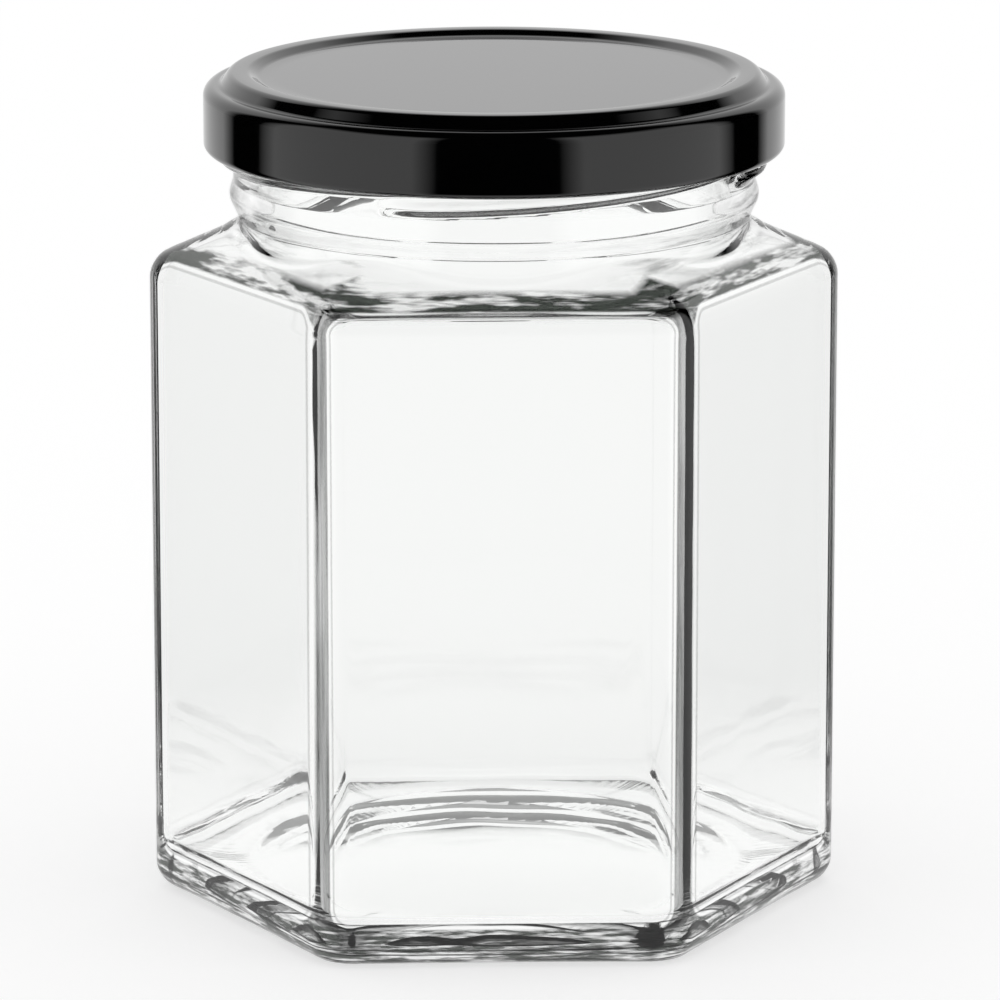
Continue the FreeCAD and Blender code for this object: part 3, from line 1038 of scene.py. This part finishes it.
@dataclass
class Studio:
    """Pale floor, soft light all round, a pale backdrop with side windows, and the camera."""

    floor_radius: float = 4.0
    paper: float = 0.62
    fill: float = 0.62
    soft_edge: float = 5.0
    near_jar: tuple[float, float] = (0.07, 0.13)
    under_jar: tuple[float, float] = (0.030, 0.050)
    under_lift: float = 0.28
    panel_top: tuple[float, float] = (55.0, 40.0)
    backdrop_top: tuple[float, float] = (25.0, 45.0)
    ceiling: float = 0.16
    bounces: int = 14
    mirror_bounces: int = 8
    bands: tuple[LightBand, ...] = (
        LightBand(-20, 52, 1.0),
        LightBand(80, 152, 1.07),
    )
    eye_distance: float = 0.8
    eye_bearing: float = -1.62
    eye_height: float = 13.32
    aim: tuple[float, float, float] = (0.67 * MM, 0.0, 46.0 * MM)
    lens: float = 248.3
    sensor: float = 36.0
    clip: tuple[float, float] = (0.05, 20.0)

    def band_level(self, nodes: Nodes, place: bpy.types.NodeSocket) -> bpy.types.NodeSocket:
        """Reads the brightness of the bands in one direction from the jar.

        Args:
            nodes: The tree that gets the nodes.
            place: Direction or place, measured from the jar.

        Returns:
            The level there.
        """
        parts = nodes.split(place)
        turn = nodes.math("ARCTAN2", parts["X"], parts["Y"])
        degrees = nodes.times(nodes.math("ABSOLUTE", turn), math.degrees(1))
        soft = self.soft_edge
        total: Optional[bpy.types.NodeSocket] = None
        for band in self.bands:
            rise = nodes.fade(degrees, band.start - soft, band.start + soft)
            fall = nodes.fade(degrees, band.end + soft, band.end - soft)
            level = nodes.times(nodes.times(rise, fall), band.level)
            total = level if total is None else nodes.math("ADD", total, level)
        return total

    def by_ray(self, nodes: Nodes, seen: Value, mirrored: Value, through: Value,
               other: float) -> bpy.types.NodeSocket:
        """Chooses a level by how the light path got here.

        Args:
            nodes: The tree that gets the nodes.
            seen: Level for what the camera sees straight away.
            mirrored: Level for what glossy surfaces mirror.
            through: Level for what shows through glass.
            other: Level for everything else.

        Returns:
            The level that counts.
        """
        path = nodes.add("ShaderNodeLightPath")
        level: Value = other
        for flag, choice in (("Is Glossy Ray", mirrored), ("Is Transmission Ray", through),
                             ("Is Camera Ray", seen)):
            level = nodes.blend(path.outputs[flag], level, choice)
        scattered = nodes.math("MINIMUM", path.outputs["Diffuse Depth"], 1.0)
        return nodes.blend(scattered, level, other)

    def floor(self) -> None:
        """Lays the floor: pale, shadowed by the jar, and white where nothing shades it; in
        reflections it glows with painted light near the jar, and through the glass under it.
        """
        ring = bmesh.new()
        bmesh.ops.create_circle(ring, cap_ends=True, segments=96, radius=self.floor_radius)
        ground = finish_piece("studio_floor", ring)
        stuff = bpy.data.materials.new("floor_paper")
        stuff.use_nodes = True
        nodes = Nodes(stuff.node_tree)
        paper = nodes.add("ShaderNodeBsdfDiffuse")
        paper.inputs["Color"].default_value = (self.paper, self.paper, self.paper, 1)
        glow = nodes.add("ShaderNodeEmission")
        both = nodes.add("ShaderNodeAddShader")
        nodes.join(paper.outputs[0], both.inputs[0])
        nodes.join(glow.outputs[0], both.inputs[1])
        lit = self.paper * self.fill
        lift = 1.0 - lit
        place = nodes.add("ShaderNodeTexCoord").outputs["Object"]
        length = nodes.add("ShaderNodeVectorMath", operation="LENGTH")
        nodes.join(place, length.inputs[0])
        away = length.outputs["Value"]
        # painted light: the floor glows near the jar in reflections, and under the jar through the
        # glass, where its shadow falls
        lit_near_jar = nodes.spread(away, 1.0, 0.0, *self.near_jar)
        mirrored = nodes.math("SUBTRACT", nodes.most(self.band_level(nodes, place), lit_near_jar), lit)
        lit_under_jar = nodes.spread(away, lift + self.under_lift, lift, *self.under_jar)
        nodes.join(self.by_ray(nodes, lift, mirrored, lit_under_jar, 0.0), glow.inputs["Strength"])
        output = nodes.add("ShaderNodeOutputMaterial")
        nodes.join(both.outputs[0], output.inputs["Surface"])
        stuff.cycles.emission_sampling = "NONE"
        ground.data.materials.append(stuff)

    def surroundings(self) -> None:
        """Lights the jar evenly, with a dark ceiling and dark gaps between the panels."""
        world = bpy.data.worlds.new("studio")
        bpy.context.scene.world = world
        world.use_nodes = True
        world.cycles.sampling_method = "NONE"
        nodes = Nodes(world.node_tree)
        place = nodes.add("ShaderNodeTexCoord").outputs["Generated"]
        height = nodes.times(nodes.math("ARCSINE", nodes.split(place)["Z"]), math.degrees(1))
        panels = nodes.times(self.band_level(nodes, place), nodes.fade(height, *self.panel_top))
        backdrop = nodes.spread(height, 1.0, self.ceiling, *self.backdrop_top)
        light = nodes.add("ShaderNodeBackground")
        light.inputs["Color"].default_value = (1, 1, 1, 1)
        nodes.join(self.by_ray(nodes, 1.0, panels, backdrop, self.fill), light.inputs["Strength"])
        output = nodes.add("ShaderNodeOutputWorld")
        nodes.join(light.outputs[0], output.inputs["Surface"])

    def camera(self) -> None:
        """Stands the camera in front of the jar, a little above it."""
        lens = bpy.data.cameras.new("camera")
        lens.lens = self.lens
        lens.sensor_width = self.sensor
        lens.clip_start, lens.clip_end = self.clip
        eye = bpy.data.objects.new("camera", lens)
        bearing, height = math.radians(self.eye_bearing), math.radians(self.eye_height)
        flat = math.cos(height)
        back = Vector((math.sin(bearing) * flat, -math.cos(bearing) * flat, math.sin(height)))
        eye.location = Vector(self.aim) + back * self.eye_distance
        eye.rotation_euler = (-back).to_track_quat("-Z", "Y").to_euler()
        bpy.context.scene.collection.objects.link(eye)
        bpy.context.scene.camera = eye

    def build(self) -> None:
        """Sets up the whole studio."""
        self.floor()
        self.surroundings()
        self.camera()
        scene = bpy.context.scene
        scene.view_settings.view_transform = "Standard"
        scene.cycles.max_bounces = self.bounces
        scene.cycles.transmission_bounces = self.bounces
        scene.cycles.glossy_bounces = self.mirror_bounces


def main() -> None:
    """Builds the jar, the lid and the studio, and logs each piece."""
    logging.basicConfig(level=logging.INFO, format="%(name)s: %(message)s")
    for maker, finish in ((GlassJar(), ClearGlass()), (TwistOffLid(), BlackLacquer())):
        piece = maker.build()
        maker.dress(piece, finish)
        log.info("%s: %d faces", piece.name, len(piece.data.polygons))
    Studio().build()
    log.info("studio is ready")


if __name__ == "__main__":
    main()
